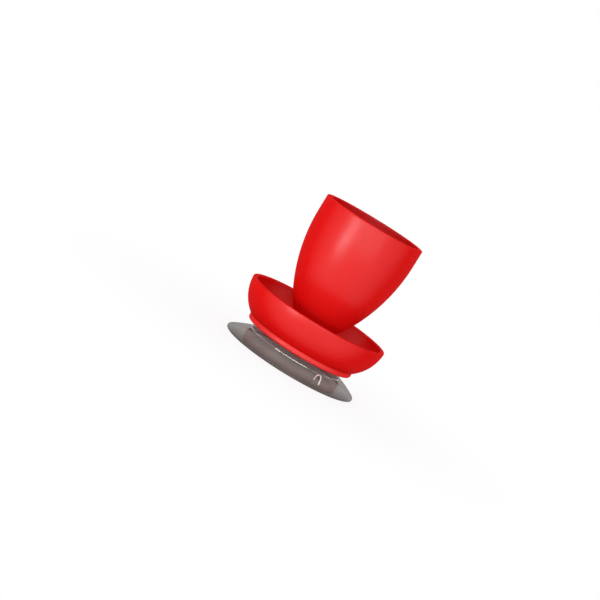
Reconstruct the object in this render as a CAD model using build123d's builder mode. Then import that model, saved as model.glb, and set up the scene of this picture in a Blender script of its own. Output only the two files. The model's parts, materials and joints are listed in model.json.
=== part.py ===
# Egg cup with a drip saucer on a suction foot.
# The upright axis is Z, and the origin is the centre of the ring on which the suction pad rests.
import os
from math import atan2, cos, degrees, radians, sin, sqrt

from build123d import *

# Suction pad
pad_radius = 30.5
pad_edge = 0.8
pad_lip_width = 1.6
pad_height = 7.8
pad_bulge = 1.3
pad_seat_radius = 10.0
pad_hollow_height = 4.2
pad_hollow_bulge = 1.05
pad_crown_radius = 7.5

# Nub on the pad's upper face, by which its edge is lifted
nub_base_radius = 2.1
nub_top_radius = 1.3
nub_height = 3.1
nub_root = 1.2
nub_inset = 3.9
nub_angle = -60.0

# Base plate, whose edge is the step ring under the saucer
plate_radius = 24.8
plate_thickness = 2.5
plate_edge_round = 0.8

# Saucer
saucer_radius = 31.9
saucer_height = 13.9
saucer_bottom_radius = 25.2
saucer_bulge = 1.75
saucer_wall = 2.0
saucer_floor = 2.2
saucer_floor_round = 2.5
saucer_bottom_round = 0.7

# Bowl
bowl_radius = 23.0
bowl_depth = 45.0
nose_radius = 15.0
bowl_lip = 7.5
bowl_wall = 2.2

# Rounding of the rims of the bowl and the saucer
rim_round = 0.5

# Stem and foot of the bowl
stem_radius = 8.4
stem_height = 3.9
stem_flare = 0.9
foot_width = 3.1
foot_edge = 0.9

# Spigot of the bowl and snap collar of the base plate
spigot_step = 0.4
spigot_wall = 1.8
collar_wall = 1.4
collar_headroom = 2.2
bead_drop = 1.2
bead_height = 0.5
bead_width = 1.2
slit_width = 1.0
slit_count = 4

# Stud that joins the pad to the base plate
head_thickness = 1.6
head_overhang = 1.55
head_round = 0.5
barb_depth = 0.5
barb_count = 2
barb_rise_share = 0.7
shank_cover = 2.0

# Clearances
seat_gap = 0.1
spigot_gap = 0.15
spigot_end_gap = 0.2
snap_gap = 0.1
head_gap = 0.4
running_gap = 0.05
socket_gap = 0.05

# Heights of the seats, from the table up
plate_bottom = pad_height + seat_gap
plate_top = plate_bottom + plate_thickness
floor_top = plate_top + saucer_floor
saucer_rim = plate_top + saucer_height
bowl_pole = floor_top + stem_height
bowl_belly = bowl_pole + bowl_depth
bowl_rim = bowl_belly + bowl_lip

# Radii that fit into each other, from the stem inwards
spigot_radius = stem_radius - spigot_step
foot_radius = stem_radius + foot_width
spigot_bore = spigot_radius - spigot_wall
collar_radius = spigot_bore - snap_gap
collar_bore = collar_radius - collar_wall
head_radius = collar_bore - head_gap
neck_radius = head_radius - head_overhang
shank_radius = neck_radius - barb_depth
collar_top = bowl_pole - collar_headroom
bead_middle = collar_top - bead_drop

os.makedirs("parts", exist_ok=True)


def bulged(start, end, bulge):
    """Give the middle of the line from start to end, moved to the line's right by bulge."""
    run = end - start
    return (start + end) * 0.5 + Vector(run.Y, -run.X).normalized() * bulge


# Egg-shaped bowl with its stem, foot and spigot.
# Its section is a nose arc on the axis that runs smoothly into a long side arc.
nose_height = bowl_pole + nose_radius
side_rise = bowl_belly - nose_height
side_radius = (side_rise**2 + bowl_radius**2 - nose_radius**2) / (2 * (bowl_radius - nose_radius))
join_angle = degrees(atan2(side_rise, side_radius - bowl_radius))
root_radius = stem_radius + stem_flare
root_height = nose_height - sqrt(nose_radius**2 - root_radius**2)
foot_top = floor_top + foot_edge


def half_egg(inset):
    """Draw half of the bowl's section, set in from its outside."""
    CenterArc((0, nose_height), nose_radius - inset, -90, 90 - join_angle)
    CenterArc((bowl_radius - side_radius, bowl_belly), side_radius - inset, -join_angle, join_angle)
    Polyline((bowl_radius - inset, bowl_belly), (0, bowl_belly), (0, bowl_pole + inset))


with BuildPart() as egg_bowl:
    with BuildSketch(Plane.XZ) as bowl_section:
        with BuildLine():
            half_egg(0)
        make_face()
        with BuildLine():
            Line((0, root_height), (root_radius, root_height))
            ThreePointArc(
                (root_radius, root_height),
                (stem_radius, (root_height + foot_top) / 2),
                (foot_radius, foot_top),
            )
            Polyline(
                (foot_radius, foot_top),
                (foot_radius, floor_top),
                (spigot_radius, floor_top),
                (spigot_radius, plate_top + spigot_end_gap),
                (0, plate_top + spigot_end_gap),
                (0, root_height),
            )
        make_face()
        with BuildLine():
            half_egg(bowl_wall)
        make_face(mode=Mode.SUBTRACT)
        with Locations((0, bowl_pole)):
            Rectangle(2 * spigot_bore, bowl_pole, align=(Align.CENTER, Align.MAX), mode=Mode.SUBTRACT)
        with Locations((bowl_radius, bowl_belly)):
            Rectangle(bowl_wall, bowl_lip, align=(Align.MAX, Align.MIN))
        fillet(bowl_section.vertices().group_by(Axis.Y)[-1], rim_round)
        with Locations((spigot_bore, bead_middle)):
            Rectangle(2 * (bead_height + snap_gap), bead_width + 2 * snap_gap, mode=Mode.SUBTRACT)
    revolve(axis=Axis.Z)
egg_bowl.part.label = "egg_bowl"
export_step(egg_bowl.part, "parts/egg_bowl.step")


# Drip saucer with a bulging wall and a hole for the spigot
saucer_hole = spigot_radius + spigot_gap
wall_foot = Vector(saucer_bottom_radius, plate_top)
wall_rim = Vector(saucer_radius, saucer_rim)
inner_rim = wall_rim - Vector(saucer_wall, 0)
inner_foot = Vector(saucer_bottom_radius - saucer_wall, floor_top)
with BuildPart() as saucer:
    with BuildSketch(Plane.XZ) as saucer_section:
        with BuildLine():
            Line((saucer_hole, plate_top), wall_foot)
            ThreePointArc(wall_foot, bulged(wall_foot, wall_rim, saucer_bulge), wall_rim)
            Line(wall_rim, inner_rim)
            ThreePointArc(inner_foot, bulged(inner_foot, inner_rim, saucer_bulge), inner_rim)
            Polyline(inner_foot, (saucer_hole, floor_top), (saucer_hole, plate_top))
        make_face()
        fillet(saucer_section.vertices().group_by(Axis.Y)[-1], rim_round)
        fillet(saucer_section.vertices().sort_by_distance(inner_foot)[0], saucer_floor_round)
        fillet(saucer_section.vertices().sort_by_distance(wall_foot)[0], saucer_bottom_round)
    revolve(axis=Axis.Z)
saucer.part.label = "saucer"
export_step(saucer.part, "parts/saucer.step")


# Base plate with its snap collar, slit into hooks
with BuildPart() as base_plate:
    with BuildSketch(Plane.XY.offset(plate_bottom)):
        Circle(plate_radius)
    extrude(amount=plate_thickness)
    fillet(base_plate.edges(), plate_edge_round)
    with BuildSketch(Plane.XZ):
        with BuildLine():
            Polyline(
                (collar_bore, plate_top),
                (collar_radius, plate_top),
                (collar_radius, bead_middle - bead_width / 2),
                (collar_radius + bead_height, bead_middle),
                (collar_radius, bead_middle + bead_width / 2),
                (collar_radius, collar_top),
                (collar_bore, collar_top),
                close=True,
            )
        make_face()
    revolve(axis=Axis.Z)
    with BuildSketch(Plane.XY.offset(plate_top)):
        with PolarLocations((collar_bore + collar_radius) / 2, slit_count):
            Rectangle(2 * collar_wall + 2 * bead_height, slit_width)
    extrude(amount=collar_top - plate_top, mode=Mode.SUBTRACT)
    with BuildSketch(Plane.XY.offset(plate_bottom)):
        Circle(neck_radius + running_gap)
    extrude(amount=plate_thickness, mode=Mode.SUBTRACT)
base_plate.part.label = "base_plate"
export_step(base_plate.part, "parts/base_plate.step")


# Stud with a round head, a neck that the plate turns on and a barbed shank
shank_end = pad_hollow_height + shank_cover
barb_pitch = (pad_height - shank_end) / barb_count
neck_top = plate_top + seat_gap
shank_points = [(shank_radius, shank_end)]
socket_points = [(shank_radius + socket_gap, shank_end - socket_gap)]
for barb in range(barb_count):
    barb_foot = shank_end + barb * barb_pitch
    barb_crest = barb_foot + barb_rise_share * barb_pitch
    shank_points.append((neck_radius, barb_crest))
    shank_points.append((shank_radius, barb_crest))
    socket_points.append((neck_radius + socket_gap, barb_crest))
    socket_points.append((neck_radius + socket_gap, barb_crest + socket_gap))
    socket_points.append((shank_radius + socket_gap, barb_crest + socket_gap))
    if barb < barb_count - 1:
        shank_points.append((shank_radius, barb_foot + barb_pitch))
        socket_points.append((shank_radius + socket_gap, barb_foot + barb_pitch))
with BuildPart() as pad_stud:
    with BuildSketch(Plane.XZ):
        with BuildLine():
            Polyline(
                (0, shank_end),
                *shank_points,
                (shank_radius, pad_height),
                (neck_radius, pad_height),
                (neck_radius, neck_top),
                (head_radius, neck_top),
                (head_radius, neck_top + head_thickness),
                (0, neck_top + head_thickness),
                close=True,
            )
        make_face()
    revolve(axis=Axis.Z)
    fillet(pad_stud.edges().group_by(Axis.Z)[-1], head_round)
pad_stud.part.label = "pad_stud"
export_step(pad_stud.part, "parts/pad_stud.step")


# Soft suction pad with a thick crown, a thin lip and a nub
pad_rim = Vector(pad_radius, pad_edge)
pad_seat = Vector(pad_seat_radius, pad_height)
lip_inside = Vector(pad_radius - pad_lip_width, 0)
hollow_top = Vector(pad_crown_radius, pad_hollow_height)
nub_place = pad_radius - nub_inset
with BuildPart() as suction_pad:
    with BuildSketch(Plane.XZ):
        with BuildLine():
            dome = ThreePointArc(pad_rim, bulged(pad_rim, pad_seat, pad_bulge), pad_seat)
            Polyline(pad_seat, (0, pad_height), (0, 0), (pad_radius, 0), pad_rim)
        make_face()
    revolve(axis=Axis.Z)
    nub_ground = dome.arc_center.Y + sqrt(dome.radius**2 - (nub_place - dome.arc_center.X) ** 2)
    nub_x = nub_place * cos(radians(nub_angle))
    nub_y = nub_place * sin(radians(nub_angle))
    nub_shoulder = nub_ground + nub_height - nub_top_radius
    with Locations((nub_x, nub_y, nub_ground - nub_root)):
        Cone(
            nub_base_radius,
            nub_top_radius,
            nub_shoulder - nub_ground + nub_root,
            align=(Align.CENTER, Align.CENTER, Align.MIN),
        )
    with Locations((nub_x, nub_y, nub_shoulder)):
        Sphere(nub_top_radius)
    with BuildSketch(Plane.XZ):
        with BuildLine():
            ThreePointArc(lip_inside, bulged(lip_inside, hollow_top, pad_hollow_bulge), hollow_top)
            Polyline(hollow_top, (0, pad_hollow_height), (0, 0), lip_inside)
        make_face()
        with BuildLine():
            Polyline(
                (0, shank_end - socket_gap),
                *socket_points,
                (shank_radius + socket_gap, pad_height),
                (0, pad_height),
                close=True,
            )
        make_face()
    revolve(axis=Axis.Z, mode=Mode.SUBTRACT)
suction_pad.part.label = "suction_pad"
export_step(suction_pad.part, "parts/suction_pad.step")
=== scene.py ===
"""Egg cup with a drip saucer on a suction foot: its turned pieces, finishes and studio."""
import json
import math

import bpy
from bpy.props import FloatProperty, FloatVectorProperty, IntProperty, PointerProperty
from mathutils import Matrix, Vector


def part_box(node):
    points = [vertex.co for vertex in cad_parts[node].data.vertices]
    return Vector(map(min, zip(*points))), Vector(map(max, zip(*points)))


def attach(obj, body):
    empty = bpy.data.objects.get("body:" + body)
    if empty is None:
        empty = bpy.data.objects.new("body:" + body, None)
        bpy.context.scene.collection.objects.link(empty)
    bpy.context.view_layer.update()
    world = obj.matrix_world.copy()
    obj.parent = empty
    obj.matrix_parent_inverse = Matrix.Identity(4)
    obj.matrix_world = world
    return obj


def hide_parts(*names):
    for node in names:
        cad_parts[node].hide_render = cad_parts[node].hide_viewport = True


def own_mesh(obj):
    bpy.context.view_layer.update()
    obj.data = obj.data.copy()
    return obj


bl_info = {
    "name": "Egg cup on a suction foot",
    "version": (1, 0, 0),
    "blender": (4, 5, 0),
    "location": "View3D > Sidebar > Egg cup",
    "description": "Makes the turned pieces, the finishes and the studio of an egg cup on a suction foot",
    "category": "Object",
}

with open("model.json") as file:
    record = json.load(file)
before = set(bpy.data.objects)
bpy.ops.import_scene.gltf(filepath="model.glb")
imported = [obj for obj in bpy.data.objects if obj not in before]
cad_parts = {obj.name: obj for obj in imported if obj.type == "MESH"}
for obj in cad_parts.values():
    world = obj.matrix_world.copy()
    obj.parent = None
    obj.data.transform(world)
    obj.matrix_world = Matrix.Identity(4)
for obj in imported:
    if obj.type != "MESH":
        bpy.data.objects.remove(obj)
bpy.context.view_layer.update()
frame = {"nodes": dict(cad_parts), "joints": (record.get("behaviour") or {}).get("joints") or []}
bowl_low, bowl_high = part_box("egg_bowl")
saucer_low, saucer_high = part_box("saucer")
pad_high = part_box("suction_pad")[1]


def length(name, description, default):
    """Give a property for a length in metres."""
    return FloatProperty(
        name=name, description=description, default=default, min=0.0, unit="LENGTH", precision=5
    )


def share(name, description, default):
    """Give a property for a share from 0 to 1."""
    return FloatProperty(
        name=name, description=description, default=default, min=0.0, max=1.0, subtype="FACTOR"
    )


def angle(name, description, default):
    """Give a property for an angle, whose default is in degrees."""
    return FloatProperty(name=name, description=description, default=math.radians(default), unit="ROTATION")


def colour(name, description, default):
    """Give a property for a linear colour."""
    return FloatVectorProperty(
        name=name, description=description, default=default, min=0.0, max=1.0, subtype="COLOR"
    )


def power(name, description, default):
    """Give a property for a lamp's power in watts."""
    return FloatProperty(name=name, description=description, default=default, min=0.0, unit="POWER")


def spot(name, description, default):
    """Give a property for a place in the studio."""
    return FloatVectorProperty(
        name=name, description=description, default=default, subtype="TRANSLATION", precision=3
    )


def span(name, description, default):
    """Give a property for a width and a height."""
    return FloatVectorProperty(
        name=name, description=description, default=default, size=2, min=0.0, unit="LENGTH", precision=3
    )


class BowlSizes(bpy.types.PropertyGroup):
    """Sizes of the egg bowl with its stem, foot and spigot."""

    radius: length("Radius", "Outside radius at the mouth", bowl_high.x)
    rim: length("Rim height", "Height of the mouth above the table", bowl_high.z)
    lip: length("Lip", "Height of the straight lip under the mouth", 0.0075)
    depth: length("Depth", "Height of the curved side from the lip to its lowest point", 0.045)
    nose: length("Nose radius", "Radius of the rounded lower end", 0.015)
    wall: length("Wall", "Thickness of the wall", 0.0022)
    root: length("Stem root", "Radius of the stem where it leaves the bowl", 0.0093)
    waist: length("Waist", "How far the stem's side bows in between the bowl and the foot", 0.00194)
    foot: length("Foot radius", "Radius of the foot that stands on the saucer's floor", 0.0115)
    foot_edge: length("Foot edge", "Height of the foot's upright edge", 0.0009)
    foot_round: length("Foot round", "Rounding of the edges of the foot and the spigot", 0.0003)
    foot_level: length("Foot level", "Height of the foot's underside above the table", 0.0126)
    spigot: length("Spigot radius", "Outside radius of the spigot under the foot", 0.008)
    spigot_end: length("Spigot end", "Height of the spigot's lower end above the table", bowl_low.z)
    bore: length("Spigot bore", "Inside radius of the spigot", 0.0062)
    groove_level: length("Groove level", "Height of the middle of the snap groove above the table", 0.0131)
    groove_width: length("Groove width", "Height of the snap groove", 0.0014)
    groove_depth: length("Groove depth", "Depth of the snap groove", 0.0006)


class SaucerSizes(bpy.types.PropertyGroup):
    """Sizes of the drip saucer."""

    radius: length("Radius", "Outside radius at the rim", 0.0319)
    rim: length("Rim height", "Height of the rim above the table", saucer_high.z)
    bottom: length("Bottom height", "Height of the underside above the table", saucer_low.z)
    bottom_radius: length("Bottom radius", "Radius of the flat underside", 0.0252)
    bulge: length("Bulge", "How far the wall bows out between its ends", 0.00175)
    wall: length("Wall", "Thickness of the wall", 0.002)
    floor: length("Floor", "Thickness of the floor", 0.0022)
    floor_round: length("Floor round", "Reach of the rounding where the floor meets the wall", 0.00065)
    bottom_round: length("Bottom round", "Rounding of the edge of the underside", 0.00025)
    hole: length("Hole radius", "Radius of the hole for the spigot", 0.00815)


class PadSizes(bpy.types.PropertyGroup):
    """Sizes of the soft suction pad with its step and nub."""

    radius: length("Radius", "Outside radius", pad_high.x)
    height: length("Height", "Height of the seat under the base plate", pad_high.z)
    edge: length("Edge", "Thickness of the thin edge", 0.0008)
    edge_round: length("Edge round", "Rounding of the thin edge", 0.0003)
    lip: length("Lip width", "Width of the ring that touches the table", 0.0016)
    seat: length("Seat radius", "Radius of the flat seat", 0.010)
    seat_round: length("Seat round", "Rounding of the edge of the seat", 0.0010)
    step_place: length("Step place", "Radius of the fine step round the upper face", 0.0215)
    step_lean: length("Step lean", "How far the step's face leans back", 0.00005)
    step_low: length("Step foot", "Height of the upper face outside the step", 0.00495)
    step_high: length("Step top", "Height of the upper face inside the step", 0.0055)
    step_round: length("Step round", "Rounding of the step's edges", 0.00008)
    outer_bulge: length("Outer bulge", "How far the upper face bows up outside the step", 0.00027)
    inner_bulge: length("Inner bulge", "How far the upper face bows up inside the step", 0.00038)
    hollow: length("Hollow height", "Height of the hollow underneath", 0.0042)
    hollow_bulge: length("Hollow bulge", "How far the hollow bows up", 0.00105)
    crown: length("Crown radius", "Radius of the flat top of the hollow", 0.0075)
    socket: length("Socket radius", "Radius of the socket for the stud", 0.0028)
    socket_end: length("Socket end", "Height of the socket's end, with room for the pressed stud", 0.00445)
    nub_base: length("Nub base", "Radius of the nub's root", 0.0021)
    nub_top: length("Nub top", "Radius of the nub's round top", 0.0013)
    nub_height: length("Nub height", "Height of the nub above the upper face", 0.0031)
    nub_root: length("Nub root", "How far the nub's root lies under the upper face", 0.0012)
    nub_inset: length("Nub inset", "Distance of the nub from the pad's edge", 0.0039)
    nub_blend: length("Nub blend", "Size of the hollow round where the nub meets the pad", 0.0006)
    nub_angle: angle("Nub angle", "Where the nub stands round the pad", -60.0)
    segments: IntProperty(name="Segments", description="Divisions round the pad", default=256, min=16)
    crowding: share("Crowding", "Width of the divisions at the nub, as a share of even ones", 0.12)
    fine_step: length("Fine step", "Longest step along the section where the nub is raised", 0.00012)


class Finishes(bpy.types.PropertyGroup):
    """Colours, roughness and cover of the plastics."""

    red: colour("Red", "Colour of the moulded red plastic", (0.70, 0.0065, 0.006))
    deep_red: colour("Deep red", "Darker red of the plastic's clouding", (0.64, 0.0045, 0.0045))
    worn_red: colour("Worn red", "Paler red of rubbed plastic", (0.78, 0.022, 0.020))
    # Painted light: the base plate's red is set brighter than the cup's red, standing in for light on the
    # ring's front
    plate_painted_lit_red: colour("Plate red", "Brighter red of the base plate", (0.88, 0.030, 0.027))
    stud_red: colour("Stud red", "Colour of the stud", (0.58, 0.012, 0.011))
    smoke: colour("Smoke", "Colour of the smoky soft plastic", (0.165, 0.103, 0.073))
    smoke_deep: colour("Deep smoke", "Darker colour of its clouding", (0.135, 0.081, 0.057))
    # Darker towards the thin edge: partly the look of the edge seen edge-on, partly painted shade of the
    # shadow line at the pad's foot
    smoke_edge_shade: colour("Smoke edge", "Dense colour at the pad's thin edge", (0.048, 0.035, 0.029))
    # Painted reflection: a warm red on the pad's middle under the plate stands in for red light reflected
    # and bounced from the plate
    smoke_plate_reflection: colour("Warm smoke", "Colour of the thick middle under the red plate", (0.30, 0.105, 0.082))
    smoke_dust: colour("Smoke dust", "Colour of the dust that clings to the pad", (0.36, 0.31, 0.29))
    # Painted sheen: a pale colour mixed in at the steep sides of the nub stands in for its glassy highlights
    nub_painted_sheen: colour("Nub sheen", "Colour of the glassy sheen at the sides of the nub", (0.95, 0.88, 0.84))
    satin: share("Satin", "Roughness of the moulded red plastic", 0.33)
    stud_satin: share("Stud satin", "Roughness of the stud", 0.48)
    smoke_cover: share("Smoke cover", "How much one surface of the thin web hides", 0.55)
    crown_cover: share("Crown cover", "How much one surface of the thick crown hides", 0.75)


class StudioSettings(bpy.types.PropertyGroup):
    """Camera, lights and floor."""

    distance: length("Camera distance", "Distance of the camera in front of the cup", 0.750)
    height: length("Camera height", "Height of the camera above the table", 0.121)
    lens: FloatProperty(name="Lens", description="Focal length", default=108.5, min=1.0, unit="CAMERA")
    turn: angle("Turn", "How far the camera is turned to its left", 0.756)
    dip: angle("Dip", "How far the camera looks down", 7.30)
    roll: angle("Roll", "How far the camera is rolled, so that the cup leans in the picture", 31.5)
    near: length("Near end", "Distance from the camera at which the picture begins", 0.01)
    key_place: spot("Key place", "Where the soft box in front stands", (-0.488, -0.728, -0.072))
    key_size: span("Key size", "Width and height of the soft box in front", (0.25, 0.21))
    key_power: power("Key", "Power of the soft box in front", 2.2)
    fill_place: spot("Fill place", "Where the wide fill light stands", (0.10, -0.74, 0.02))
    fill_size: span("Fill size", "Width and height of the wide fill light", (0.90, 0.05))
    fill_power: power("Fill", "Power of the wide fill light", 1.2)
    front_place: spot("Front place", "Where the light above the camera stands", (0.0, -0.72, 0.26))
    front_size: span("Front size", "Width and height of the light above the camera", (0.6, 0.2))
    front_power: power("Front", "Power of the light above the camera", 0.75)
    top_place: spot("Top place", "Where the soft box overhead stands", (0.15, -0.10, 1.15))
    top_size: span("Top size", "Width and depth of the soft box overhead", (1.1, 1.1))
    top_power: power("Top", "Power of the soft box overhead", 1.8)
    aim: length("Aim", "Height above the table that the lamps point at", 0.035)
    sky: share("Sky", "Level of the light that comes from all round", 0.60)
    sky_behind: FloatProperty(
        name="Sky behind", description="Level of the light that comes from behind", default=1.15, min=0.0
    )
    floor: colour("Floor", "Colour of the floor", (0.93, 0.93, 0.93))
    floor_tooth: share("Floor tooth", "How much darker the floor's fine grain is", 0.015)
    floor_drop: length("Floor drop", "Gap between the pad and the floor", 0.00005)
    floor_sides: IntProperty(name="Floor sides", description="Divisions round the floor", default=96, min=16)
    clear_ground: length("Clear ground", "Radius round the cup where the floor shows its shadow", 0.05)
    table: length("Table radius", "Radius of the floor, which has run out into white there", 0.13)
    floor_glow: share("Floor glow", "Share of white in the floor beside the cup", 0.86)


class EggCupSettings(bpy.types.PropertyGroup):
    """All the settings of the egg cup and its studio."""

    bowl: PointerProperty(type=BowlSizes)
    saucer: PointerProperty(type=SaucerSizes)
    pad: PointerProperty(type=PadSizes)
    finishes: PointerProperty(type=Finishes)
    studio: PointerProperty(type=StudioSettings)
    segments: IntProperty(name="Segments", description="Divisions round the red pieces", default=224, min=16)
    rim_round: length("Rim round", "Rounding of the rims of the bowl and the saucer", 0.0005)
    step: length("Step", "Longest step along a turned section", 0.0011)


class Wire:
    """One output socket. Arithmetic on it adds Math nodes to its sheet."""

    def __init__(self, sheet, socket):
        self.sheet = sheet
        self.socket = socket

    def out(self, name):
        """Give another output of the same node."""
        return Wire(self.sheet, self.socket.node.outputs[name])

    def math(self, operation, first, second):
        """Add a Math node for two values or wires."""
        return self.sheet.add("ShaderNodeMath", {"operation": operation}, {0: first, 1: second})

    def __add__(self, other):
        return self.math("ADD", self, other)

    def __radd__(self, other):
        return self.math("ADD", other, self)

    def __sub__(self, other):
        return self.math("SUBTRACT", self, other)

    def __rsub__(self, other):
        return self.math("SUBTRACT", other, self)

    def __mul__(self, other):
        return self.math("MULTIPLY", self, other)

    def __rmul__(self, other):
        return self.math("MULTIPLY", other, self)

    def __truediv__(self, other):
        return self.math("DIVIDE", self, other)


class Sheet:
    """A node tree that is written as expressions on wires."""

    noise_middle = 0.5

    def __init__(self, tree):
        self.tree = tree
        tree.nodes.clear()

    def add(self, kind, settings=None, sockets=None):
        """Add a node with its settings and the values or wires of its sockets, and give its first output."""
        node = self.tree.nodes.new(kind)
        for name, value in (settings or {}).items():
            setattr(node, name, value)
        for key, value in (sockets or {}).items():
            if isinstance(value, Wire):
                self.tree.links.new(value.socket, node.inputs[key])
            else:
                node.inputs[key].default_value = value
        return Wire(self, node.outputs[0] if node.outputs else None)

    def mix(self, factor, first, second):
        """Mix two colours."""
        return self.add("ShaderNodeMix", {"data_type": "RGBA"}, {0: factor, 6: first, 7: second}).out(2)

    def ramp(self, value, low, high):
        """Rise smoothly from 0 to 1 as value goes from low to high."""
        return self.add(
            "ShaderNodeMapRange",
            {"interpolation_type": "SMOOTHSTEP"},
            {"Value": value, "From Min": low, "From Max": high},
        )

    def ring(self, value, low, high, fade):
        """Give 1 between low and high, and fade to 0 over a short reach inside both ends."""
        return self.ramp(value, low, low + fade) * (1.0 - self.ramp(value, high - fade, high))

    def noise(self, place, scale, detail=2.0, roughness=0.5):
        """Give a noise whose features are about one part in scale of a metre."""
        return self.add(
            "ShaderNodeTexNoise",
            {},
            {"Vector": place, "Scale": scale, "Detail": detail, "Roughness": roughness},
        )

    def stretched(self, place, scale):
        """Stretch the place that a pattern reads by a scale for each axis."""
        return self.add("ShaderNodeMapping", {}, {"Vector": place, "Scale": scale})


def opaque(rgb):
    """Give a colour property as red, green, blue and full alpha."""
    return (*rgb, 1.0)


def material(name):
    """Make an empty material and give it with its sheet."""
    made = bpy.data.materials.new(name)
    made.use_nodes = True
    return made, Sheet(made.node_tree)


def red_plastic(name, main, deep, worn, satin):
    """Moulded plastic with a fine spark-eroded grain, faint clouding and rubbing marks."""
    cloud_share = 0.5
    rubbed_share = 0.28
    speck_share = 0.22
    cloud_dulling = 0.05
    rubbed_dulling = 0.10
    grain_dulling = 0.12
    grain_height = 0.55
    ripple_height = 0.9
    turning_height = 0.16
    matt_share = 0.95
    made, sheet = material(name)
    place = sheet.add("ShaderNodeTexCoord").out("Object")
    clouds = sheet.ramp(sheet.noise(place, scale=70.0, detail=3.0), low=0.35, high=0.70)
    grain = sheet.noise(place, scale=2600.0, detail=3.0, roughness=0.6)
    ripple = sheet.noise(place, scale=260.0)
    round_the_piece = sheet.stretched(place, scale=(40.0, 40.0, 2400.0))
    turning = sheet.noise(round_the_piece, scale=1.0, detail=3.0, roughness=0.65)
    patches = sheet.ramp(sheet.noise(place, scale=45.0), low=0.46, high=0.64)
    rubbing = sheet.ramp(turning, low=0.60, high=0.74) * patches
    specks = sheet.ramp(sheet.noise(place, scale=1500.0, detail=1.0), low=0.74, high=0.80)
    tint = sheet.mix(clouds * cloud_share, opaque(main), opaque(deep))
    tint = sheet.mix(rubbing * rubbed_share, tint, opaque(worn))
    tint = sheet.mix(specks * speck_share, tint, opaque(deep))
    relief = grain * grain_height + ripple * ripple_height + turning * turning_height
    bump = sheet.add("ShaderNodeBump", {}, {"Strength": 0.30, "Distance": 0.00004, "Height": relief})
    dulling = clouds * cloud_dulling + rubbing * rubbed_dulling
    shell = sheet.add(
        "ShaderNodeBsdfPrincipled",
        {},
        {
            "Base Color": tint,
            "Roughness": satin + dulling + (grain - sheet.noise_middle) * grain_dulling,
            "IOR": 1.49,
            "Specular IOR Level": 0.38,
            "Normal": bump,
        },
    )
    matt = sheet.add(
        "ShaderNodeBsdfPrincipled", {}, {"Base Color": tint, "Specular IOR Level": 0.0, "Normal": bump}
    )
    facing = sheet.add("ShaderNodeLayerWeight", {}, {"Blend": 0.5}).out("Facing")
    sides = sheet.ramp(facing, low=0.09, high=0.44)
    surface = sheet.add("ShaderNodeMixShader", {}, {0: sides * matt_share, 1: shell, 2: matt})
    sheet.add("ShaderNodeOutputMaterial", {}, {"Surface": surface})
    return made


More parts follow.
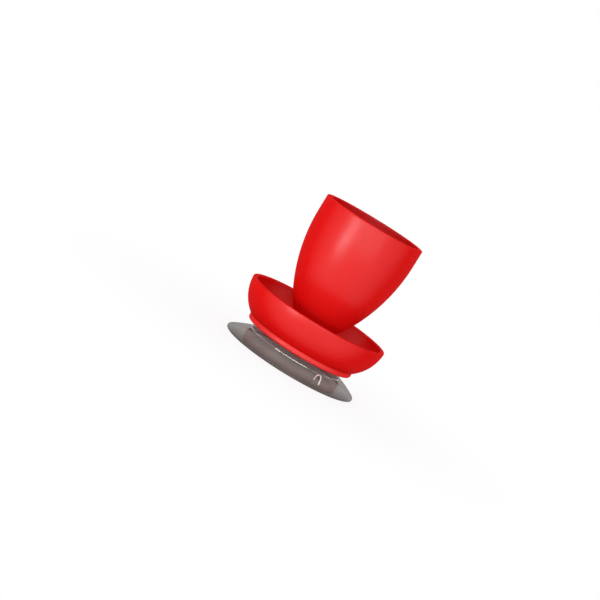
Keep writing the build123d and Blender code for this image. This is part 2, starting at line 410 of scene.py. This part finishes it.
def smoke_plastic(name, sizes, finishes):
    """Soft smoky plastic that lets light through where it is thin, with a painted glassy sheen on the nub, a
    painted red reflection of the plate in its middle, and a dense edge that is darkened partly as painted
    shade.
    """
    straight_gloss = 0.043
    gloss_power = 5.0
    edge_band = 0.0055
    edge_border = 0.0004
    plate_reflection_fade = 0.0015
    polish_inside = 0.0002
    polish_outside = 0.00025
    polish_fade = 0.0001
    edge_cover = 0.20
    cloud_cover = 0.12
    dust_cover = 0.08
    edge_share = 0.9
    dust_share = 0.25
    smoothest = 0.08
    cloud_dulling = 0.06
    dust_dulling = 0.12
    cloud_height = 0.8
    grain_height = 0.2
    matt_share = 0.8
    made, sheet = material(name)
    place = sheet.add("ShaderNodeTexCoord").out("Object")
    flat = sheet.add("ShaderNodeVectorMath", {"operation": "MULTIPLY"}, {0: place, 1: (1.0, 1.0, 0.0)})
    reach = sheet.add("ShaderNodeVectorMath", {"operation": "LENGTH"}, {0: flat}).out("Value")
    clouds = sheet.noise(place, scale=95.0, detail=3.0, roughness=0.55)
    dust = sheet.ramp(sheet.noise(place, scale=1300.0), low=0.66, high=0.78)
    grain = sheet.noise(place, scale=3000.0)
    relief = clouds * cloud_height + grain * grain_height
    bump = sheet.add("ShaderNodeBump", {}, {"Strength": 0.25, "Distance": 0.00003, "Height": relief})
    facing = sheet.add("ShaderNodeLayerWeight", {}, {"Blend": 0.5}).out("Facing")
    gloss = straight_gloss + (1.0 - straight_gloss) * facing.math("POWER", facing, gloss_power)
    nub_sides = sheet.ramp(facing, low=0.10, high=0.40)
    nub_rise = sheet.add("ShaderNodeAttribute", {"attribute_name": "nub"}).out("Fac")
    nub = sheet.ramp(nub_rise, low=0.0002, high=0.0005)
    step = sizes.step_place
    crown = 1.0 - sheet.ramp(reach, sizes.crown, step)
    edge = sheet.ramp(reach, sizes.radius - edge_band, sizes.radius - edge_border)
    # Mask for the painted red reflection of the plate, inside the step
    middle = 1.0 - sheet.ramp(reach, step - plate_reflection_fade, step)
    polish = sheet.ring(reach, step - polish_inside, step + polish_outside, polish_fade)
    cover = finishes.smoke_cover + crown * (finishes.crown_cover - finishes.smoke_cover) + edge * edge_cover
    cover = cover + (clouds - sheet.noise_middle) * cloud_cover + dust * dust_cover
    depths = sheet.ramp(clouds, low=0.30, high=0.72)
    tint = sheet.mix(depths, opaque(finishes.smoke), opaque(finishes.smoke_deep))
    # Darker edge band, partly painted shade of the shadow line at the pad's foot
    tint = sheet.mix(edge * edge_share, tint, opaque(finishes.smoke_edge_shade))
    # Painted red reflection of the plate on the pad's middle
    tint = sheet.mix(middle, tint, opaque(finishes.smoke_plate_reflection))
    tint = sheet.mix(dust * dust_share, tint, opaque(finishes.smoke_dust))
    skin = sheet.add(
        "ShaderNodeBsdfPrincipled",
        {},
        {
            "Base Color": tint,
            "Roughness": smoothest + clouds * cloud_dulling + dust * dust_dulling,
            "IOR": 1.52,
            "Specular IOR Level": 0.25,
            "Alpha": cover + (1.0 - cover) * gloss,
            "Coat Weight": polish,
            "Coat IOR": 1.7,
            "Coat Roughness": 0.06,
            "Normal": bump,
        },
    )
    matt = sheet.add(
        "ShaderNodeBsdfPrincipled", {}, {"Base Color": tint, "Alpha": cover, "Specular IOR Level": 0.0}
    )
    grazing = sheet.ramp(facing, low=0.72, high=0.96)
    surface = sheet.add("ShaderNodeMixShader", {}, {0: grazing * matt_share, 1: skin, 2: matt})
    # Painted sheen on the nub's sides: a pale colour stands in for glassy highlights
    sheen = sheet.add(
        "ShaderNodeBsdfPrincipled", {}, {"Base Color": opaque(finishes.nub_painted_sheen), "Roughness": 0.1}
    )
    surface = sheet.add("ShaderNodeMixShader", {}, {0: nub * nub_sides, 1: surface, 2: sheen})
    sheet.add("ShaderNodeOutputMaterial", {}, {"Surface": surface})
    return made


class Section:
    """Half of a section, drawn as points of radius and height, that is turned about the upright axis."""

    fewest_arc_steps = 3
    corner_steps = 7

    def __init__(self, start, step):
        self.points = [Vector(start)]
        self.step = step

    def to(self, radius, height):
        """Draw a straight run."""
        start = self.points[-1]
        end = Vector((radius, height))
        count = max(1, math.ceil((end - start).length / self.step))
        self.points += [start.lerp(end, i / count) for i in range(1, count + 1)]
        return self

    def sweep(self, centre, radius, start, end):
        """Draw an arc round a centre between two angles, and begin it where the section has come to."""
        count = max(self.fewest_arc_steps, math.ceil(abs(end - start) * radius / self.step))
        for i in range(1, count + 1):
            turned = start + (end - start) * i / count
            across = centre[0] + radius * math.cos(turned)
            up = centre[1] + radius * math.sin(turned)
            self.points.append(Vector((across, up)))
        return self

    def bow(self, end, bulge):
        """Draw an arc to end that bows by bulge to the right of the straight line."""
        start = self.points[-1]
        end = Vector(end)
        run = end - start
        side = Vector((run.y, -run.x)).normalized()
        half = run.length / 2
        radius = (half**2 + bulge**2) / (2 * abs(bulge))
        centre = (start + end) / 2 + side * (bulge - math.copysign(radius, bulge))
        first = math.atan2(start.y - centre.y, start.x - centre.x)
        last = math.atan2(end.y - centre.y, end.x - centre.x)
        turned = (last - first + math.pi) % (2 * math.pi) - math.pi
        return self.sweep(centre, radius, first, first + turned)

    def round(self, radius, height, reach):
        """Round the corner at a point, from reach before it to reach after it."""
        corner = Vector((radius, height))
        at = min(range(len(self.points)), key=lambda i: (self.points[i] - corner).length)
        before = at
        while (self.points[before] - corner).length < reach and before > 0:
            before -= 1
        after = at
        while (self.points[after] - corner).length < reach and after < len(self.points) - 1:
            after += 1
        first = corner + (self.points[before] - corner).normalized() * reach
        last = corner + (self.points[after] - corner).normalized() * reach
        bend = []
        for i in range(self.corner_steps + 1):
            t = i / self.corner_steps
            bend.append(first * (1 - t) ** 2 + corner * (2 * t * (1 - t)) + last * t**2)
        self.points[before + 1 : after] = bend
        return self


def turning_tree():
    """Geometry Nodes that turn a section about the upright axis, with finer divisions at one angle."""
    row_nudge = 0.00001
    weld = 0.000002
    tree = bpy.data.node_groups.new("Turned piece", "GeometryNodeTree")
    sheet = Sheet(tree)
    for name, kind in (
        ("Section", "NodeSocketGeometry"),
        ("Segments", "NodeSocketInt"),
        ("Crowding", "NodeSocketFloat"),
        ("Crowd Angle", "NodeSocketFloat"),
        ("Material", "NodeSocketMaterial"),
    ):
        tree.interface.new_socket(name, in_out="INPUT", socket_type=kind)
    tree.interface.new_socket("Piece", in_out="OUTPUT", socket_type="NodeSocketGeometry")
    given = sheet.add("NodeGroupInput")
    section = given.out("Section")
    segments = given.out("Segments")
    count = sheet.add("GeometryNodeAttributeDomainSize", {"component": "MESH"}, {"Geometry": section})
    grid = sheet.add(
        "GeometryNodeMeshGrid", {}, {"Vertices X": count.out("Point Count"), "Vertices Y": segments + 1.0}
    )
    index = sheet.add("GeometryNodeInputIndex")
    row = sheet.add("ShaderNodeMath", {"operation": "FLOOR"}, {0: index / (segments + 1.0) + row_nudge})
    column = index - row * (segments + 1.0)
    drawn = sheet.add(
        "GeometryNodeSampleIndex",
        {"data_type": "FLOAT_VECTOR", "domain": "POINT"},
        {"Geometry": section, "Value": sheet.add("GeometryNodeInputPosition"), "Index": row},
    )
    point = sheet.add("ShaderNodeSeparateXYZ", {}, {"Vector": drawn})
    part = column / segments - 0.5
    crowding = given.out("Crowding")
    # Divisions are narrow in the middle of the turn, and its two ends still meet
    spread = part * (crowding + (1.0 - crowding) * 4.0 * part * part)
    turned = spread * (2 * math.pi) + given.out("Crowd Angle")
    radius = point.out("X")
    place = sheet.add(
        "ShaderNodeCombineXYZ",
        {},
        {
            "X": radius * sheet.add("ShaderNodeMath", {"operation": "COSINE"}, {0: turned}),
            "Y": radius * sheet.add("ShaderNodeMath", {"operation": "SINE"}, {0: turned}),
            "Z": point.out("Z"),
        },
    )
    bent = sheet.add("GeometryNodeSetPosition", {}, {"Geometry": grid, "Position": place})
    closed = sheet.add("GeometryNodeMergeByDistance", {}, {"Geometry": bent, "Distance": weld})
    smooth = sheet.add("GeometryNodeSetShadeSmooth", {}, {"Geometry": closed, "Shade Smooth": True})
    real = sheet.add("GeometryNodeRealizeInstances", {}, {"Geometry": smooth})
    finish = given.out("Material")
    dressed = sheet.add("GeometryNodeSetMaterial", {}, {"Geometry": real, "Material": finish})
    sheet.add("NodeGroupOutput", {}, {"Piece": dressed})
    return tree


def turned_piece(name, section, finish, segments, crowding=1.0, crowd_angle=0.0):
    """Turn a section into a plain mesh object."""
    tree = bpy.data.node_groups.get("Turned piece") or turning_tree()
    points = [(p.x, 0.0, p.y) for p in section.points]
    drawn = bpy.data.meshes.new(name + "_section")
    drawn.from_pydata(points, [(i, i + 1) for i in range(len(points) - 1)], [])
    piece = bpy.data.objects.new(name, drawn)
    bpy.context.scene.collection.objects.link(piece)
    modifier = piece.modifiers.new("Turning", "NODES")
    modifier.node_group = tree
    inputs = {item.name: item.identifier for item in tree.interface.items_tree if item.in_out == "INPUT"}
    modifier[inputs["Segments"]] = segments
    modifier[inputs["Crowding"]] = crowding
    modifier[inputs["Crowd Angle"]] = crowd_angle
    modifier[inputs["Material"]] = finish
    depsgraph = bpy.context.evaluated_depsgraph_get()
    mesh = bpy.data.meshes.new_from_object(piece.evaluated_get(depsgraph), depsgraph=depsgraph)
    piece.modifiers.remove(modifier)
    piece.data = mesh
    bpy.data.meshes.remove(drawn)
    return piece


def paint_node(node, finish):
    """Give a piece that keeps its own mesh a new finish."""
    node.data.materials.clear()
    node.data.materials.append(finish)


class EGGCUP_OT_bowl(bpy.types.Operator):
    """Turn the egg bowl with its stem, foot and spigot"""

    bl_idname = "eggcup.bowl"
    bl_label = "Egg bowl"

    def execute(self, context):
        cup = context.scene.egg_cup
        size = cup.bowl
        colours = cup.finishes
        belly = size.rim - size.lip
        pole = belly - size.depth
        nose = (0.0, pole + size.nose)
        rise = belly - nose[1]
        side_radius = (rise**2 + size.radius**2 - size.nose**2) / (2 * (size.radius - size.nose))
        side = (size.radius - side_radius, belly)
        join = math.atan2(rise, side_radius - size.radius)
        root = math.acos(size.root / size.nose)
        foot_top = size.foot_level + size.foot_edge
        section = Section((0.0, pole + size.wall), cup.step)
        section.sweep(nose, size.nose - size.wall, -math.pi / 2, -join)
        section.sweep(side, side_radius - size.wall, -join, 0.0)
        section.to(size.radius - size.wall, size.rim).to(size.radius, size.rim).to(size.radius, belly)
        section.sweep(side, side_radius, 0.0, -join)
        section.sweep(nose, size.nose, -join, -root)
        section.bow((size.foot, foot_top), size.waist)
        section.to(size.foot, size.foot_level).to(size.spigot, size.foot_level)
        section.to(size.spigot, size.spigot_end).to(size.bore, size.spigot_end)
        groove_low = size.groove_level - size.groove_width / 2
        groove_high = size.groove_level + size.groove_width / 2
        section.to(size.bore, groove_low).to(size.bore + size.groove_depth, groove_low)
        section.to(size.bore + size.groove_depth, groove_high).to(size.bore, groove_high)
        section.to(size.bore, pole).to(0.0, pole)
        section.round(size.radius - size.wall, size.rim, cup.rim_round)
        section.round(size.radius, size.rim, cup.rim_round)
        section.round(size.foot, foot_top, size.foot_round)
        section.round(size.spigot, size.spigot_end, size.foot_round)
        shades = (colours.red, colours.deep_red, colours.worn_red)
        finish = red_plastic("red_plastic_bowl", *shades, colours.satin)
        bowl = turned_piece("bowl", section, finish, cup.segments)
        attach(bowl, "cup")
        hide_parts("egg_bowl")
        return {"FINISHED"}


class EGGCUP_OT_saucer(bpy.types.Operator):
    """Turn the drip saucer"""

    bl_idname = "eggcup.saucer"
    bl_label = "Drip saucer"

    def execute(self, context):
        cup = context.scene.egg_cup
        size = cup.saucer
        colours = cup.finishes
        floor_top = size.bottom + size.floor
        floor_middle = (size.hole + size.bottom_radius) / 2
        section = Section((floor_middle, floor_top), cup.step)
        section.to(size.bottom_radius - size.wall, floor_top)
        section.bow((size.radius - size.wall, size.rim), size.bulge)
        section.to(size.radius, size.rim)
        section.bow((size.bottom_radius, size.bottom), -size.bulge)
        section.to(size.hole, size.bottom).to(size.hole, floor_top)
        section.to(floor_middle, floor_top)
        section.round(size.bottom_radius - size.wall, floor_top, size.floor_round)
        section.round(size.radius - size.wall, size.rim, cup.rim_round)
        section.round(size.radius, size.rim, cup.rim_round)
        section.round(size.bottom_radius, size.bottom, size.bottom_round)
        shades = (colours.red, colours.deep_red, colours.worn_red)
        finish = red_plastic("red_plastic_saucer", *shades, colours.satin)
        saucer = turned_piece("drip_saucer", section, finish, cup.segments)
        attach(saucer, "cup")
        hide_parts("saucer")
        return {"FINISHED"}


class EGGCUP_OT_pad(bpy.types.Operator):
    """Turn the soft suction pad, with its step and its nub"""

    bl_idname = "eggcup.pad"
    bl_label = "Suction pad"

    def execute(self, context):
        cup = context.scene.egg_cup
        size = cup.pad
        section = Section((0.0, size.socket_end), cup.step)
        section.to(size.socket, size.socket_end).to(size.socket, size.height).to(size.seat, size.height)
        section.bow((size.step_place, size.step_high), -size.inner_bulge)
        step_foot = size.step_place + size.step_lean
        section.step = size.fine_step
        section.to(step_foot, size.step_low)
        section.bow((size.radius, size.edge), -size.outer_bulge)
        section.step = cup.step
        place = size.radius - size.nub_inset
        ground = min(section.points, key=lambda point: abs(point.x - place)).y
        section.to(size.radius, 0.0).to(size.radius - size.lip, 0.0)
        section.bow((size.crown, size.hollow), size.hollow_bulge)
        section.to(0.0, size.hollow)
        section.round(size.radius, 0.0, size.edge_round)
        section.round(size.radius, size.edge, size.edge_round)
        section.round(step_foot, size.step_low, size.step_round)
        section.round(size.step_place, size.step_high, size.step_round)
        section.round(size.seat, size.height, size.seat_round)
        finish = smoke_plastic("smoke_pvc", size, cup.finishes)
        pad = turned_piece("soft_pad", section, finish, size.segments, size.crowding, size.nub_angle)
        self.raise_nub(pad.data, size, place, ground)
        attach(pad, "suction_foot")
        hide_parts("suction_pad")
        press = next(joint for joint in frame["joints"] if joint["name"] == "suction_press")
        travel = max(press["range_m"])
        (size.height - travel) / size.height
        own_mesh(pad)
        return {"FINISHED"}

    def raise_nub(self, mesh, size, place, ground):
        """Raise the nub out of the upper face, which lies at ground there, and keep each point's rise."""
        middle = Vector((place * math.cos(size.nub_angle), place * math.sin(size.nub_angle)))
        shoulder = ground + size.nub_height - size.nub_top
        cone = (shoulder - ground + size.nub_root) / (size.nub_base - size.nub_top)
        slope = (size.step_low - size.edge) / (size.radius - size.step_place)
        rise = mesh.attributes.new("nub", "FLOAT", "POINT")
        for vertex in mesh.vertices:
            level = vertex.co.z
            off = (vertex.co.xy - middle).length
            underside = size.edge / 2 + slope * (size.radius - vertex.co.xy.length)
            if level < underside or off > 2 * size.nub_base:
                continue
            if off < size.nub_top:
                nub = shoulder + math.sqrt(size.nub_top**2 - off**2)
            else:
                nub = ground - size.nub_root + (size.nub_base - off) * cone
            # A smooth maximum of the two heights gives the hollow round at the nub's foot
            closeness = max(size.nub_blend - abs(level - nub), 0.0) / size.nub_blend
            vertex.co.z = max(level, nub) + closeness**2 * size.nub_blend / 4
            rise.data[vertex.index].value = vertex.co.z - level


class EGGCUP_OT_hardware(bpy.types.Operator):
    """Finish the base plate and the stud, which keep their own meshes"""

    bl_idname = "eggcup.hardware"
    bl_label = "Base plate and stud"

    def execute(self, context):
        colours = context.scene.egg_cup.finishes
        worn = colours.worn_red
        # The plate gets the brighter red that is painted light on its ring
        plate = red_plastic("red_plastic_plate", colours.plate_painted_lit_red, worn, worn, colours.satin)
        stud = red_plastic("stud_plastic", colours.stud_red, colours.deep_red, worn, colours.stud_satin)
        paint_node(frame["nodes"]["base_plate"], plate)
        paint_node(frame["nodes"]["pad_stud"], stud)
        return {"FINISHED"}


class EGGCUP_OT_studio(bpy.types.Operator):
    """Make the floor, the soft light and the camera"""

    bl_idname = "eggcup.studio"
    bl_label = "Studio"

    def execute(self, context):
        scene = context.scene
        studio = scene.egg_cup.studio
        self.make_floor(scene, studio)
        self.make_sky(scene, studio)
        for name, place, size, strength in (
            ("key_light", studio.key_place, studio.key_size, studio.key_power),
            ("fill_light", studio.fill_place, studio.fill_size, studio.fill_power),
            ("front_light", studio.front_place, studio.front_size, studio.front_power),
            ("top_light", studio.top_place, studio.top_size, studio.top_power),
        ):
            self.make_soft_box(scene, name, place, size, strength, studio.aim)
        self.make_camera(scene, studio)
        scene.view_settings.view_transform = "Standard"
        return {"FINISHED"}

    def seen(self, sheet):
        """Give 1 for rays that look at the background, straight or through gloss and clear plastic."""
        path = sheet.add("ShaderNodeLightPath")
        straight = path.math("MAXIMUM", path.out("Is Camera Ray"), path.out("Is Glossy Ray"))
        return path.math("MAXIMUM", straight, path.out("Is Transmission Ray"))

    def make_floor(self, scene, studio):
        """A pale floor that keeps the cup's shadow and runs out into white."""
        sides = range(studio.floor_sides)
        turns = [2 * math.pi * i / studio.floor_sides for i in sides]
        edge = [(studio.table * math.cos(t), studio.table * math.sin(t), -studio.floor_drop) for t in turns]
        mesh = bpy.data.meshes.new("studio_floor")
        mesh.from_pydata(edge, [], [tuple(sides)])
        finish, sheet = material("pale_floor")
        place = sheet.add("ShaderNodeTexCoord").out("Object")
        reach = sheet.add("ShaderNodeVectorMath", {"operation": "LENGTH"}, {0: place}).out("Value")
        tooth = sheet.noise(place, scale=900.0, detail=3.0)
        darker = [(1.0 - studio.floor_tooth) * part for part in studio.floor]
        paint = sheet.mix(tooth, opaque(studio.floor), opaque(darker))
        ground = sheet.add("ShaderNodeBsdfDiffuse", {}, {"Color": paint})
        white = sheet.add("ShaderNodeEmission", {}, {"Color": (1.0, 1.0, 1.0, 1.0), "Strength": 1.0})
        rim = sheet.ramp(reach, studio.clear_ground, studio.table)
        whiteness = studio.floor_glow + rim * (1.0 - studio.floor_glow)
        surface = sheet.add(
            "ShaderNodeMixShader", {}, {0: whiteness * self.seen(sheet), 1: ground, 2: white}
        )
        sheet.add("ShaderNodeOutputMaterial", {}, {"Surface": surface})
        mesh.materials.append(finish)
        floor = bpy.data.objects.new("studio_floor", mesh)
        scene.collection.objects.link(floor)

    def make_sky(self, scene, studio):
        """Soft light from all round, stronger from behind, in front of a white background."""
        scene.world = bpy.data.worlds.new("studio_sky")
        scene.world.use_nodes = True
        sheet = Sheet(scene.world.node_tree)
        ahead = sheet.add("ShaderNodeTexCoord").out("Generated")
        depth = sheet.add("ShaderNodeSeparateXYZ", {}, {"Vector": ahead}).out("Y")
        sky = studio.sky + sheet.ramp(depth, low=-0.2, high=0.6) * (studio.sky_behind - studio.sky)
        level = sky + self.seen(sheet) * (1.0 - sky)
        glow = sheet.add("ShaderNodeBackground", {}, {"Color": (1.0, 1.0, 1.0, 1.0), "Strength": level})
        sheet.add("ShaderNodeOutputWorld", {}, {"Surface": glow})

    def make_soft_box(self, scene, name, place, size, strength, aim):
        """A rectangular soft light that points at the cup at the height of aim."""
        light = bpy.data.lights.new(name, "AREA")
        light.shape = "RECTANGLE"
        light.size, light.size_y = size
        light.energy = strength
        box = bpy.data.objects.new(name, light)
        box.location = place
        ahead = Vector((0.0, 0.0, aim)) - Vector(place)
        box.rotation_euler = ahead.to_track_quat("-Z", "Y").to_euler()
        scene.collection.objects.link(box)

    def make_camera(self, scene, studio):
        """The camera in front of the cup, rolled so that the cup leans to the right in the picture."""
        ahead = Vector(
            (
                -math.sin(studio.turn) * math.cos(studio.dip),
                math.cos(studio.turn) * math.cos(studio.dip),
                -math.sin(studio.dip),
            )
        )
        level = Vector((math.cos(studio.turn), math.sin(studio.turn), 0.0))
        upright = level.cross(ahead)
        right = level * math.cos(studio.roll) + upright * math.sin(studio.roll)
        top = upright * math.cos(studio.roll) - level * math.sin(studio.roll)
        lens = bpy.data.cameras.new("camera")
        lens.lens = studio.lens
        lens.clip_start = studio.near
        camera = bpy.data.objects.new("camera", lens)
        turned = Matrix((right, top, -ahead)).transposed().to_4x4()
        camera.matrix_world = Matrix.Translation((0.0, -studio.distance, studio.height)) @ turned
        scene.collection.objects.link(camera)
        scene.camera = camera


class EGGCUP_PT_sidebar(bpy.types.Panel):
    """Lists the steps and settings of the egg cup"""

    bl_idname = "EGGCUP_PT_sidebar"
    bl_label = "Egg cup"
    bl_space_type = "VIEW_3D"
    bl_region_type = "UI"
    bl_category = "Egg cup"

    def draw(self, context):
        cup = context.scene.egg_cup
        for name, operator in (
            ("bowl", "eggcup.bowl"),
            ("saucer", "eggcup.saucer"),
            ("pad", "eggcup.pad"),
            ("finishes", "eggcup.hardware"),
            ("studio", "eggcup.studio"),
        ):
            box = self.layout.box()
            box.operator(operator)
            group = getattr(cup, name)
            for setting in group.bl_rna.properties:
                if setting.identifier not in {"rna_type", "name"}:
                    box.prop(group, setting.identifier)


classes = (
    BowlSizes,
    SaucerSizes,
    PadSizes,
    Finishes,
    StudioSettings,
    EggCupSettings,
    EGGCUP_OT_bowl,
    EGGCUP_OT_saucer,
    EGGCUP_OT_pad,
    EGGCUP_OT_hardware,
    EGGCUP_OT_studio,
    EGGCUP_PT_sidebar,
)


def register():
    for cls in classes:
        bpy.utils.register_class(cls)
    bpy.types.Scene.egg_cup = PointerProperty(type=EggCupSettings)


def unregister():
    del bpy.types.Scene.egg_cup
    for cls in reversed(classes):
        bpy.utils.unregister_class(cls)


def main():
    register()
    bpy.ops.eggcup.bowl()
    bpy.ops.eggcup.saucer()
    bpy.ops.eggcup.pad()
    bpy.ops.eggcup.hardware()
    bpy.ops.eggcup.studio()
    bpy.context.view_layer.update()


if __name__ == "__main__":
    main()
